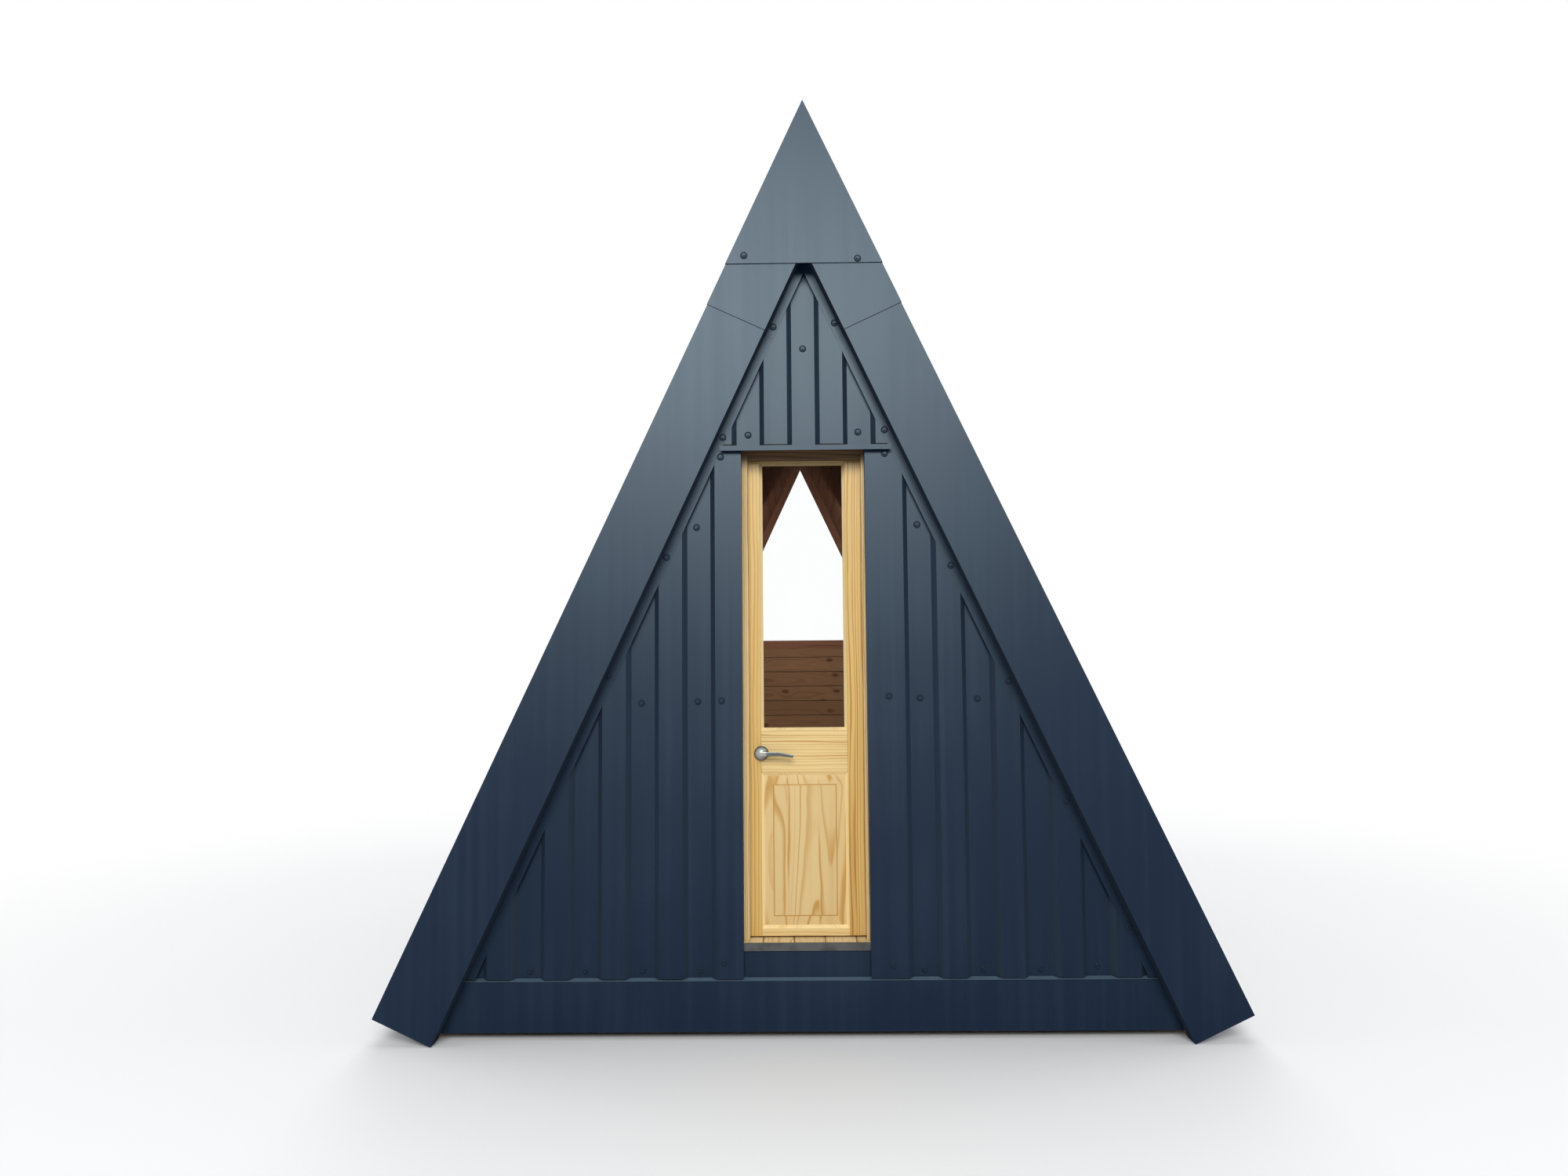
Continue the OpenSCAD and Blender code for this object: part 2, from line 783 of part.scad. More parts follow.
// Frame of the back window: a sill bar and two raking bars
module back_window_frame() {
    color(dark_pine) difference() {
        back() {
            along_y(crown_y, room_y) gable(seat_s, window_z, window_sill);
            both() along_y(crown_y, room_y)
                polygon([[hairline, peak_z(seat_s) - hairline * tan(pitch)],
                         [half_at(seat_s, window_sill + hairline), window_sill + hairline],
                         [half_at(window_s, window_sill + hairline), window_sill + hairline],
                         [hairline, peak_z(window_s) - hairline * tan(pitch)]]);
        }
        pane(groove, glass_t);
    }
}

module back_window_glass() { color(clear_glass) pane(groove, glass_t); }

module back_window_flashing() {
    z = window_z - drip_nose - ledge_rise;
    color(slate) back() difference() {
        drip(half_at(flange_s, z), z);
        box([-half_w, crown_y, window_z], [half_w, core_y + over, window_sill]);
    }
}

module back_barges() { color(slate) back() both() lower_barge(); }

module back_barge_tops() { color(slate) back() both() upper_barge(); }

module back_apex_cap() { color(slate) back() apex_cap(); }

floor_bearers();
floor_joists();
floor_boards();
roof_left();
roof_right();
roof_sheet_left();
roof_sheet_right();
roof_lining_left();
roof_lining_right();
ridge_cap();
eaves_flashings();
front_wall_left();
front_wall_right();
front_wall_top();
front_lining();
front_cladding_left();
front_cladding_right();
front_cladding_top();
front_base_flashing();
front_barges();
front_barge_tops();
front_apex_cap();
door_kick_panel();
door_sill();
door_side_flashings();
door_drip_flashing();
door_jambs();
door_head();
hinge_frame_leaves();
door_stiles();
door_rails();
door_panel();
door_glass();
door_beads();
door_roses();
hinge_door_leaves();
door_lever();
back_wall();
back_lining();
back_cladding();
back_base_flashing();
back_window_frame();
back_window_glass();
back_window_flashing();
back_barges();
back_barge_tops();
back_apex_cap();
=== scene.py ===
# %% [markdown]
# # A small A-frame cabin in ribbed steel and pine
# The cabin comes in as solids that are already the right size and in the right place.
# This lesson gives every surface its finish, adds the small things that a carpenter or a
# roofer adds last, such as screws and boards, and sets up a camera and some soft light.

# %% Load the built cabin
import json
import math

import bmesh
import bpy
from mathutils import Matrix, Vector

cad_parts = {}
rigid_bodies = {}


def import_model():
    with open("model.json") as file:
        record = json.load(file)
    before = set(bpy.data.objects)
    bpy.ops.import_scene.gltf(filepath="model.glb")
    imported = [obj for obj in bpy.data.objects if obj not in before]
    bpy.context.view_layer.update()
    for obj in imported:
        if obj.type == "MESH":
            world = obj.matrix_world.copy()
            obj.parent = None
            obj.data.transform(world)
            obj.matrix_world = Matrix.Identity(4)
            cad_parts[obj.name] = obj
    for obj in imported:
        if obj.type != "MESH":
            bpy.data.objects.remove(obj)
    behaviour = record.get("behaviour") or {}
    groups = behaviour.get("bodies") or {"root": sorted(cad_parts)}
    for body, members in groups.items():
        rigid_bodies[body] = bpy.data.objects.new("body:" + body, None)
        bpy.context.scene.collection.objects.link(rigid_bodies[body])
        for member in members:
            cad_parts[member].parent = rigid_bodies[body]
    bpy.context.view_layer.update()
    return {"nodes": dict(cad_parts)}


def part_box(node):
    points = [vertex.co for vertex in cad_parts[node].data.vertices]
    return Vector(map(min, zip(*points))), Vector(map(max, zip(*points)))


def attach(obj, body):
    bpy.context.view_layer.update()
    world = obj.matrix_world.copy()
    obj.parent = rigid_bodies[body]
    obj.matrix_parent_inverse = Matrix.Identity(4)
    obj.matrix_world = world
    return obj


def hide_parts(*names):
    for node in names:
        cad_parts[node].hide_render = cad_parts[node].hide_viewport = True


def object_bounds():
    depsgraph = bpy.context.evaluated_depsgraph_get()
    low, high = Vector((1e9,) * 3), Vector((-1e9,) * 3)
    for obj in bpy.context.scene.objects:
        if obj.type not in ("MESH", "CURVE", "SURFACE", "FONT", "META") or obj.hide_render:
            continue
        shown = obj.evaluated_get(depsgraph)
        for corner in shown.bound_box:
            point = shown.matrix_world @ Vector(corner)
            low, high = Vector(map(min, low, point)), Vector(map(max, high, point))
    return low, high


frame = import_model()
nodes = frame["nodes"]

# %% [markdown]
# ## Writing finishes as sums
# A finish is a little sum of patterns: streaks times dust plus a fleck. Wiring that by hand
# takes many lines, so one small class stands for a socket and lets Python's own signs add
# the Math nodes. Every other node comes from its one method, settings first, sockets after.

# %% A socket that can be added and multiplied
class Sock:
    """An output socket of a node tree, used like a number."""

    def __init__(self, tree, socket):
        self.tree = tree
        self.socket = socket

    def node(self, kind, settings=None, inputs=None, out=0):
        """Adds a node of a type, with its settings and then its sockets."""
        made = self.tree.nodes.new("ShaderNode" + kind)
        for name, value in (settings or {}).items():
            setattr(made, name, value)
        for name, value in (inputs or {}).items():
            feed(self.tree, made.inputs[name], value)
        return Sock(self.tree, made.outputs[out])

    def maths(self, operation, first, second=0.0):
        return self.node("Math", {"operation": operation}, {0: first, 1: second})

    def __add__(self, other):
        return self.maths("ADD", self, other)

    def __radd__(self, other):
        return self.maths("ADD", other, self)

    def __sub__(self, other):
        return self.maths("SUBTRACT", self, other)

    def __rsub__(self, other):
        return self.maths("SUBTRACT", other, self)

    def __mul__(self, other):
        return self.maths("MULTIPLY", self, other)

    def __rmul__(self, other):
        return self.maths("MULTIPLY", other, self)

    def __truediv__(self, other):
        return self.maths("DIVIDE", self, other)

    def __rtruediv__(self, other):
        return self.maths("DIVIDE", other, self)

    def __pow__(self, other):
        return self.maths("POWER", self, other)

    def __rpow__(self, other):
        return self.maths("POWER", other, self)


def feed(tree, socket, value):
    """Links a socket to another, or sets it to a plain value."""
    if isinstance(value, Sock):
        tree.links.new(value.socket, socket)
    else:
        socket.default_value = value


# %% Small helpers for patterns
def screen(red, green, blue):
    """A colour as a screen shows it, from 0 to 255, in the linear numbers of a shader."""
    def linear(part):
        part /= 255
        return part / 12.92 if part <= 0.04045 else ((part + 0.055) / 1.055) ** 2.4
    return (linear(red), linear(green), linear(blue), 1.0)


def noise(place, scale, detail=3.0, shift=0.0):
    """Soft noise from 0 to 1, stretched by a scale for each axis."""
    moved = place.node("Mapping", {}, {"Vector": place, "Location": (shift, shift, shift), "Scale": scale})
    return place.node("TexNoise", {}, {"Vector": moved, "Scale": 1.0, "Detail": detail})


def ease(value, low, high):
    """Goes smoothly from 0 at low to 1 at high."""
    return value.node("MapRange", {"interpolation_type": "SMOOTHSTEP"},
                      {"Value": value, "From Min": low, "From Max": high})


def blend(share, first, second):
    """Mixes two colours."""
    return share.node("Mix", {"data_type": "RGBA"}, {0: share, 6: first, 7: second}, 2)


def relief(height_mm):
    """A bump from a height in millimetres."""
    return height_mm.node("Bump", {}, {"Strength": 1.0, "Distance": 0.001, "Height": height_mm})


def axes(place):
    """The x, y and z of a place."""
    split = place.node("SeparateXYZ", {}, {"Vector": place})
    return [Sock(place.tree, out) for out in split.socket.node.outputs]


def finish(name, recipe):
    """A material whose recipe returns what goes into each socket of its shader."""
    made = bpy.data.materials.new(name)
    made.use_nodes = True
    tree = made.node_tree
    place = Sock(tree, tree.nodes.new("ShaderNodeTexCoord").outputs["Object"])
    for socket, value in recipe(place).items():
        feed(tree, tree.nodes["Principled BSDF"].inputs[socket], value)
    return made


print("helpers ready")

# %% [markdown]
# ## Coated steel sheet
# The sheets and flashings are steel with a baked slate-blue coat. Close up it is faintly
# pebbled, rain leaves pale streaks down it, and a thin sheet is never quite flat, so bright
# things waver in it. A flat colour would look like plastic. Three noises give the streaks,
# the pebbling and the waver, and the shine is left to the shader and the lamps. The ledge
# at the foot of a gable is painted pale: painted light from the sky that it faces.

# %% Slate coating, with streaks that run down the sheet
SLATE = screen(11, 30, 52)
SLATE_DUSTY = screen(40, 58, 76)
# Paler slates for the matt returns and the rib flanks: painted sheen and painted light.
SLATE_PAINTED_SHEEN = screen(46, 56, 69)
SLATE_FLANK_LIT = screen(38, 49, 64)
# The pale ledge colour is painted light from the sky above it.
LEDGE_PAINTED_LIGHT = screen(82, 100, 116)
STREAKS = {"x": (34.0, 3.0, 0.6), "y": (0.6, 30.0, 0.6)}


def coated_steel(across, waver_mm, ledge=None, coat=SLATE, shine=0.12):
    """A recipe for coated sheet.

    across: the axis that the streaks cross.
    waver_mm: how far from flat the sheet is.
    ledge: how far out the ledge begins that is painted pale, as painted light.
    """
    def recipe(place):
        cloud = noise(place, (1.7, 1.7, 1.7), 4.0)
        streak = noise(place, STREAKS[across], 4.0)
        grit = noise(place, (330.0, 330.0, 330.0), 2.0)
        waver = noise(place, (4.5, 4.5, 2.0), 1.0)
        dust = ease(cloud * 0.5 + streak * 0.5, 0.42, 0.68)
        colour = blend(dust * 0.22, coat, SLATE_DUSTY)
        colour = blend(ease(grit, 0.56, 0.74) * 0.10, colour, SLATE_DUSTY)
        # Painted light: the ledge is painted pale where the sky would light it.
        if ledge:
            out = axes(place)[1]
            colour = blend(ease(out.maths("ABSOLUTE", out), ledge, ledge - 0.004), colour, LEDGE_PAINTED_LIGHT)
        return {"Base Color": colour,
                "Roughness": 0.38 + dust * 0.03 + grit * 0.06,
                "Specular IOR Level": shine,
                "Normal": relief(waver * waver_mm + grit * 0.012)}
    return recipe


gable_steel = finish("gable_steel", coated_steel("x", 2.2))
flank_steel = finish("flank_steel", coated_steel("x", 2.2, coat=SLATE_FLANK_LIT))
roof_steel = finish("roof_steel", coated_steel("y", 2.2))
folded_steel = finish("folded_steel", coated_steel("x", 1.4))
matt_steel = finish("matt_steel", coated_steel("y", 1.4, coat=SLATE_PAINTED_SHEEN, shine=0.0))
FOOT_FACE = -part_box("front_base_flashing")[0].y
foot_steel = finish("foot_steel", coated_steel("x", 1.4, FOOT_FACE - 0.001))
print("steel finishes:", gable_steel.name, roof_steel.name, folded_steel.name)

# %% [markdown]
# ## Pine
# Pine shows its yearly rings, pale early wood that darkens slowly into late wood and then
# stops at a sharp edge. A board is a slice through a cone of such rings, so the honest way
# is to measure the distance to the heart of the tree and let it lean along the board. That
# alone gives straight lines on one board and flames on the next. Good years are wide and
# bad ones thin, and no two are equally dark. A knot pushes the rings aside. Boards side by
# side come from different trees, so each gets its own number, which moves its heart, its
# pattern and its tone. A thin dark line round the raised field of the panel is painted shadow
# of its step, and painted shade darkens the wood at the top of the doorway, under the head.

# %% One recipe for every board
# Painted shade at the top of the doorway: the colour it darkens to, and how far below and above the top it
# runs.
DOORWAY_SHADE = screen(78, 58, 40)
DOORWAY_SHADE_BELOW, DOORWAY_SHADE_ABOVE = 0.07, 0.012


def pine(along, pale, late, knot, gloss, heart, boards=None, knots=0.1, shine=0.1, rings=125.0,
         late_from=0.35, field=None, shaded_top=None, knot_space="3D"):
    """A recipe for planed pine.

    along: the axis of the grain, where slope means boards along y up a roof slope.
    pale, late, knot: the colours of early wood, late wood and knots.
    heart: where the rings centre, across the board and deep in it.
    boards: the pitch, the start, the mix of tones and the dirt in the joints of boards side by side.
    knots: the share of likely places that hold one; a knot_space of 2D cuts each through its middle.
    rings, late_from: how many there are in a metre, and where in a year the wood darkens.
    field: the middle and half the size of a raised field, round which a painted shadow line runs.
    shaded_top: a height near which painted shade darkens the wood.
    """
    def recipe(place):
        x, y, z = axes(place)
        across, length, depth = {"z": (x, z, y), "x": (z, x, y), "y": (x, y, z), "slope": (z, y, x)}[along]
        number = 0.0
        if boards:
            pitch, start, toned, dirt = boards
            spot = (across - start) / pitch
            number = spot.maths("FLOOR", spot)
            across = (spot - number - 0.5) * pitch
            joint = ease(across.maths("ABSOLUTE", across), pitch / 2 - 0.004, pitch / 2 - 0.001)
            tone = number.node("TexWhiteNoise", {"noise_dimensions": "1D"}, {"W": number})
        length = length + number * 7.31
        grid = length.node("CombineXYZ", {}, {0: across, 1: length, 2: depth})
        sway = noise(grid, (5.0, 1.6, 5.0), 3.0)
        lean = noise(grid, (0.6, 0.8, 0.6), 1.0, 3.7)
        cells = length.node("CombineXYZ", {}, {0: across * 6.0, 1: length * 3.2, 2: number * 3.7})
        nearest = cells.node("TexVoronoi", {"voronoi_dimensions": knot_space},
                             {"Vector": cells, "Scale": 1.0})
        lot = axes(Sock(place.tree, nearest.socket.node.outputs["Color"]))[0]
        kept = lot.maths("LESS_THAN", lot, knots)
        aside = across - heart[0]
        if boards:
            aside = aside + (tone - 0.5) * 0.09
        below = depth - heart[1] + (lean - 0.5) * 0.11
        radius = (aside * aside + below * below) ** 0.5
        growth = noise(radius.node("CombineXYZ", {}, {0: radius}), (45.0, 1.0, 1.0), 1.0)
        pushed = kept * ease(nearest, 0.32, 0.02) * 1.6
        ring = radius * rings + sway * (rings * 0.021) + growth * 2.0 + pushed
        count = ring.maths("FLOOR", ring)
        year = ring - count
        strength = count.node("TexWhiteNoise", {"noise_dimensions": "1D"}, {"W": count})
        late_wood = ease(year, late_from, 0.86) * (1 - ease(year, 0.88, 1.0)) * (0.25 + strength * 0.85)
        fibre = noise(grid, (430.0, 7.0, 430.0), 3.0)
        streak = noise(grid, (26.0, 0.8, 26.0), 3.0, 9.1)
        centre = ease(nearest, 0.10, 0.05) * kept
        shade = late_wood * 0.90 + (fibre - 0.5) * 0.30 + ease(streak, 0.5, 0.75) * 0.35
        colour = blend(shade, pale, late)
        colour = blend(centre * 0.85, colour, knot)
        if boards:
            colour = blend(tone * toned, colour, late)
            colour = blend(joint * dirt, colour, knot)
        if field:
            middle_x, middle_z, half_x, half_z = field
            beside = x.maths("ABSOLUTE", x - middle_x) - half_x
            over = z.maths("ABSOLUTE", z - middle_z) - half_z
            outside = beside.maths("MAXIMUM", beside, over)
            # A thin dark line round the field: painted shadow of the step at its edge.
            painted_step_shadow = 1 - ease(outside.maths("ABSOLUTE", outside), 0.001, 0.0035)
            colour = blend(painted_step_shadow * 0.85, colour, late)
        # Painted shade: the wood darkens towards the top of the doorway, under the head.
        if shaded_top:
            painted_shade = ease(z, shaded_top - DOORWAY_SHADE_BELOW, shaded_top + DOORWAY_SHADE_ABOVE) * 0.88
            colour = blend(painted_shade, colour, DOORWAY_SHADE)
        return {"Base Color": colour,
                "Roughness": gloss + fibre * 0.14 - late_wood * 0.05,
                "Specular IOR Level": shine,
                "Normal": relief(fibre * 0.04 + late_wood * 0.012 - centre * 0.05)}
    return recipe


# %% Pine of the door and its frame
LEAF_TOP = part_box("door_rails")[1].z
BEAD_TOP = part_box("door_beads")[1].z
PALE, LATE, KNOT = screen(213, 180, 109), screen(172, 108, 36), screen(108, 64, 32)
DOOR_DEPTH = sum(c.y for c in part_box("door_rails")) / 2
upright_pine = finish("upright_pine", pine("z", PALE, LATE, KNOT, 0.36, (0.03, DOOR_DEPTH - 0.05),
                                           rings=92.0, late_from=0.4, shaded_top=LEAF_TOP))
level_pine = finish("level_pine", pine("x", screen(228, 200, 140), screen(188, 138, 68), KNOT, 0.36,
                                       (0.52, DOOR_DEPTH + 0.09), rings=92.0, late_from=0.45,
                                       shaded_top=LEAF_TOP))
panel_low, panel_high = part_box("door_panel")
panel_middle, panel_half = (panel_low + panel_high) / 2, (panel_high - panel_low) / 2
FIELD_INSET = 0.043
PANEL_BOARD, PANEL_START = 0.112, -0.189
FIELD = (panel_middle.x, panel_middle.z, panel_half.x - FIELD_INSET, panel_half.z - FIELD_INSET)
panel_pine = finish("panel_pine", pine("z", screen(219, 191, 136), screen(192, 146, 76), KNOT, 0.36,
                                       (0.02, DOOR_DEPTH + 0.11), (PANEL_BOARD, PANEL_START, 0.12, 0.0),
                                       rings=105.0, late_from=0.55, field=FIELD))
frame_pine = finish("frame_pine", pine("z", screen(222, 194, 140), screen(166, 124, 66), KNOT, 0.45,
                                       (0.0, DOOR_DEPTH + 0.05), late_from=0.5, shaded_top=LEAF_TOP))
# The head is a dark copy of the pine: painted shade from the drip flashing above it.
head_pine = finish("head_pine", pine("x", screen(96, 76, 56), screen(66, 49, 34), KNOT, 0.5,
                                     (2.0, DOOR_DEPTH + 0.03)))
# The beads are a paler copy of the pine, painted light for sides that face away from the lamp, with
# painted shade at their top.
bead_pine = finish("bead_pine", pine("z", screen(252, 226, 168), screen(242, 210, 146), KNOT, 0.36,
                                     (0.03, DOOR_DEPTH - 0.05), knots=0.0, rings=20.0,
                                     shaded_top=BEAD_TOP))
print("pine finishes for the door:", upright_pine.name, level_pine.name, panel_pine.name)

# %% [markdown]
# ## Brown boards and sawn timber
# Inside, the walls are brown boards, the slopes and the window frame a darker brown, and the
# floor is left pale. The framing under the floor is sawn and unplaned: it is duller, and the saw
# leaves fine ridges across the grain. The bearers are near black, painted shade under the floor.

# %% Brown boards, floor and framing
PITCH = math.radians(65.0)
BOARD = 0.1
FLOOR_BOARD = 0.1095
room_low, room_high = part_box("back_lining")
floor_low, floor_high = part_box("floor_boards")
slope_low, slope_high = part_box("roof_lining_right")
SLOPE_THICK = 0.012
slope_start = SLOPE_THICK * math.tan(PITCH)
slope_run = (slope_high.z - slope_low.z - SLOPE_THICK * math.cos(PITCH)) / math.sin(PITCH)
slope_count = math.ceil((slope_run - slope_start) / BOARD)
slope_width = (slope_run - slope_start) / slope_count
slope_top = slope_high.z - slope_start * math.sin(PITCH) - SLOPE_THICK * math.cos(PITCH)
BROWN, BROWN_LATE, BROWN_KNOT = screen(124, 93, 67), screen(92, 66, 46), screen(40, 26, 17)
DARK, DARK_LATE, DARK_KNOT = screen(114, 77, 59), screen(81, 53, 41), screen(34, 20, 14)
wall_boards = finish("wall_boards", pine("x", BROWN, BROWN_LATE, BROWN_KNOT, 0.55,
                                         (0.0, room_low.y + 0.07), (BOARD, room_low.z, 0.6, 0.7),
                                         knots=1.0, knot_space="2D"))
roof_boards = finish("roof_boards", pine("slope", DARK, DARK_LATE, DARK_KNOT, 0.6, (0.0, 0.0),
                                         (slope_width * math.sin(PITCH), slope_top, 0.45, 0.6),
                                         knots=0.6, shine=0.0))
dark_frame = finish("dark_frame", pine("x", DARK, DARK_LATE, DARK_KNOT, 0.5, (1.4, room_low.y), shine=0.0))
floor_pine = finish("floor_pine", pine("y", screen(236, 214, 170), screen(202, 174, 124), KNOT, 0.5,
                                       (0.0, floor_low.z - 0.05),
                                       (FLOOR_BOARD, -FLOOR_BOARD / 2, 0.45, 0.6), knots=0.5))


def sawn_timber(pale, late, saw_dust):
    """A recipe for unplaned timber."""
    def recipe(place):
        saw = noise(place, (260.0, 14.0, 260.0), 3.0)
        grain = noise(place, (40.0, 2.0, 40.0), 4.0)
        colour = blend(ease(grain, 0.35, 0.7), pale, late)
        return {"Base Color": blend(ease(saw, 0.5, 0.8) * 0.3, colour, saw_dust),
                "Roughness": 0.72 + saw * 0.12,
                "Specular IOR Level": 0.1,
                "Normal": relief(saw * 0.35 + grain * 0.2)}
    return recipe


timber = finish("timber", sawn_timber(screen(176, 149, 110), screen(132, 106, 73), screen(112, 88, 60)))
# Near-black bearers: painted shade, so they vanish into the dark under the floor.
shade_dark_timber = finish("tarred_timber", sawn_timber(screen(44, 41, 40), screen(31, 29, 30), screen(58, 53, 49)))
print("boards inside and timber below:", wall_boards.name, roof_boards.name, floor_pine.name, timber.name)

# %% [markdown]
# ## Handle, strip and glass
# The lever and its rose are satin steel, brushed in fine lines, painted darker away from the
# middle of the rose as a painted reflection. The strip along the floor is mill-finish metal that
# shoes have dulled. Window glass is nearly invisible from straight ahead and turns into a mirror
# at a slant, so it mixes a clear shader with a glossy one by how far the surface turns away.

# %% Metals and glass
spindle = sum(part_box("door_roses"), Vector()) / 2
ROSE_RADIUS = (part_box("door_roses")[1].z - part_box("door_roses")[0].z) / 2


def brushed_steel(place):
    lines = noise(place, (40.0, 900.0, 900.0), 2.0)
    smear = noise(place, (60.0, 60.0, 60.0), 3.0)
    x, _, z = axes(place)
    aside, over = x - spindle.x, z - spindle.z
    # Painted reflection: the steel darkens outward from the middle of the rose, dark at its rim and on the
    # lever.
    painted_dark_rim = ease((aside * aside + over * over) ** 0.5, ROSE_RADIUS * 0.45, ROSE_RADIUS * 0.95)
    bright = blend(smear * 0.5, screen(150, 146, 138), screen(112, 110, 106))
    return {"Base Color": blend(painted_dark_rim * 0.8, bright, screen(62, 61, 59)),
            "Metallic": 1.0,
            "Roughness": 0.17 + lines * 0.12 + smear * 0.06,
            "Normal": relief(lines * 0.01)}


def worn_strip(place):
    scuff = noise(place, (30.0, 400.0, 400.0), 3.0)
    patch = noise(place, (14.0, 14.0, 14.0), 3.0)
    return {"Base Color": blend(ease(patch, 0.4, 0.7), screen(70, 67, 66), screen(54, 51, 51)),
            "Metallic": 0.8,
            "Roughness": 0.34 + scuff * 0.25,
            "Normal": relief(scuff * 0.03)}


satin_steel = finish("satin_steel", brushed_steel)
floor_strip = finish("floor_strip", worn_strip)


def window_glass(name):
    made = bpy.data.materials.new(name)
    made.use_nodes = True
    tree = made.node_tree
    facing = Sock(tree, tree.nodes.new("ShaderNodeLayerWeight").outputs["Facing"])
    clear = facing.node("BsdfTransparent", {}, {"Color": (0.995, 0.998, 0.997, 1.0)})
    mirror = facing.node("BsdfAnisotropic", {}, {"Color": (0.95, 0.97, 1.0, 1.0), "Roughness": 0.02})
    pane = facing.node("MixShader", {}, {0: facing ** 4.0 * 0.55 + 0.002, 1: clear, 2: mirror})
    feed(tree, tree.nodes["Material Output"].inputs["Surface"], pane)
    return made


glass = window_glass("window_glass")
print("metals and glass:", satin_steel.name, floor_strip.name, glass.name)

# %% [markdown]
# ## Dressing the solids
# Most solids keep their own mesh and only need a finish. A table of finishes and the solids
# that wear them is easier to read than forty assignments. The barges turn back over the roof,
# and a second slot gives those returns a coat without shine, in a paler slate that is painted
# sheen. The flanks of the ribs mirror each other and no sky, so theirs is painted light, paler.

# %% Finishes of the solids
WEARS = {
    gable_steel: ["front_cladding_left", "front_cladding_right", "front_cladding_top", "back_cladding"],
    roof_steel: ["roof_sheet_left", "roof_sheet_right", "ridge_cap", "eaves_flashings"],
    foot_steel: ["front_base_flashing", "back_base_flashing"],
    folded_steel: ["front_barges", "front_barge_tops", "front_apex_cap", "door_kick_panel",
                   "door_side_flashings", "door_drip_flashing", "back_window_flashing",
                   "back_barges", "back_barge_tops", "back_apex_cap"],
    shade_dark_timber: ["floor_bearers"],
    timber: ["floor_joists", "roof_left", "roof_right", "front_wall_left", "front_wall_right",
             "front_wall_top", "back_wall"],
    dark_frame: ["back_window_frame"],
    floor_strip: ["door_sill"],
    satin_steel: ["door_roses", "hinge_frame_leaves", "hinge_door_leaves"],
    glass: ["door_glass", "back_window_glass"],
    bead_pine: ["door_beads"],
}
for worn, names in WEARS.items():
    for name in names:
        nodes[name].data.materials.clear()
        nodes[name].data.materials.append(worn)
print("dressed", sum(len(names) for names in WEARS.values()), "solids")

# %% Second slots: matt returns, and the flanks of the ribs
# The returns get a matt coat whose paler slate is painted sheen; the flanks a paler one that is painted
# light.
RETURN_LOW, RETURN_HIGH = -1.0, 0.5
FLANK_LOW, FLANK_HIGH = 0.2, 0.95


def second_slot(names, worn, low, high):
    """Gives a second finish to faces whose normal has a y between two sizes, and counts them."""
    count = 0
    for name in names:
        mesh = nodes[name].data
        mesh.materials.append(worn)
        for face in mesh.polygons:
            if low < abs(face.normal.y) < high:
                face.material_index = 1
                count += 1
    return count


turned = [name for name in WEARS[folded_steel] if "barge" in name or "apex" in name]
print("matt faces on the returns:", second_slot(turned, matt_steel, RETURN_LOW, RETURN_HIGH))
print("faces on the flanks:", second_slot(WEARS[gable_steel], flank_steel, FLANK_LOW, FLANK_HIGH))

# %% [markdown]
# ## New pieces
# Each new piece is drawn in a bmesh and becomes an object at the origin, with its place in
# its mesh, just like the solids. It rides on the body that carries it.

# %% From a bmesh to a piece
def piece(name, shape, finishes, body, stands_for=()):
    """Turns a bmesh into an object that rides on a body."""
    bmesh.ops.recalc_face_normals(shape, faces=shape.faces)
    mesh = bpy.data.meshes.new(name)
    shape.to_mesh(mesh)
    shape.free()
    for worn in finishes:
        mesh.materials.append(worn)
    made = bpy.data.objects.new(name, mesh)
    bpy.context.scene.collection.objects.link(made)
    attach(made, body)
    if stands_for:
        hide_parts(*stands_for)
    print(name, len(mesh.polygons), "faces")


# %% [markdown]
# ## Planed edges
# A joiner never leaves a sharp arris: every edge of the door and its frame is eased by a
# millimetre or so, and catches the light. A merged copy of the solid is bevelled along its
# long edges and stands in for it.

# %% Eased copies of the joinery and the lever
def eased(node, body, worn, width, shortest, turn=35.0):
    """A copy of a solid with its sharper, longer edges rounded over."""
    shape = bmesh.new()
    shape.from_mesh(nodes[node].data)
    bmesh.ops.remove_doubles(shape, verts=shape.verts, dist=1e-5)
    bmesh.ops.dissolve_limit(shape, angle_limit=math.radians(1), verts=shape.verts, edges=shape.edges)
    sharp = [e for e in shape.edges if len(e.link_faces) == 2 and e.calc_length() > shortest
             and e.calc_face_angle(0.0) > math.radians(turn)]
    bmesh.ops.bevel(shape, geom=sharp, offset=width, affect="EDGES", segments=2, profile=0.5,
                    material=-1)
    piece(node + "_eased", shape, [worn], body, [node])


ARRIS, FINE_ARRIS = 0.0015, 0.001
LONG_EDGE, ANY_EDGE = 0.02, 0.0002
eased("door_stiles", "door", upright_pine, ARRIS, LONG_EDGE)
eased("door_rails", "door", level_pine, ARRIS, LONG_EDGE)
eased("door_panel", "door", panel_pine, FINE_ARRIS, LONG_EDGE, turn=10.0)
eased("door_jambs", "cabin", frame_pine, ARRIS, LONG_EDGE)
eased("door_head", "cabin", head_pine, ARRIS, LONG_EDGE)
eased("door_lever", "handle", satin_steel, ARRIS, ANY_EDGE, turn=60.0)

# %% [markdown]
# ## Boards
# The linings are matched boards with a small V at every joint, and the floor is laid from
# front to back. Each board starts as a cube whose corners are moved to the ends of the
# board, so that ends against a slope are cut to it, and a chamfer makes the V.

# %% A board between moved corners
V_JOINT = 0.003
LOWEST_BOARD = 0.02
NARROWEST_FLOOR_BOARD = 0.04


